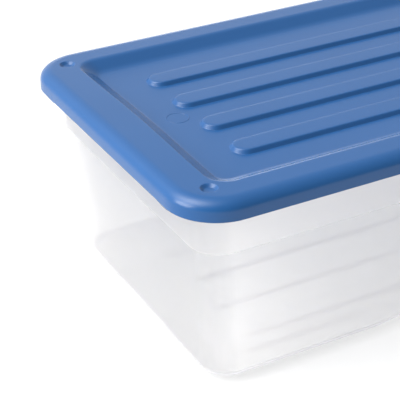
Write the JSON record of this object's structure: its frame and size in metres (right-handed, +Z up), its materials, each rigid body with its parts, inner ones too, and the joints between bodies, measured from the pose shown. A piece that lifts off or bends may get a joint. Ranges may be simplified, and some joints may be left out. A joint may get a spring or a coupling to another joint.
{
  "type": "under bed box",
  "caption": "Low milky plastic storage box with drafted walls, a stepped band, corner feet, and a blue lift-off lid with a recessed, ribbed panel.",
  "frame": {"origin": "centre of the level plane that the four corner feet stand on", "axes": "+X along the box's length, +Y across its width, +Z up, the way the lid lifts"},
  "size_m": [0.6, 0.4, 0.235],
  "materials": {
    "tub": "milky translucent polypropylene, satin outside",
    "lid": "satin blue polypropylene, fine moulded grain"
  },
  "bodies": {
    "tub": {"tub": "tub"},
    "lid": {"lid": "lid"}
  },
  "joints": [
    {"name": "lid_lift", "type": "slide", "parent": "tub", "child": "lid", "axis": [0, 0, 1], "range_m": [0, 0.15]}
  ]
}
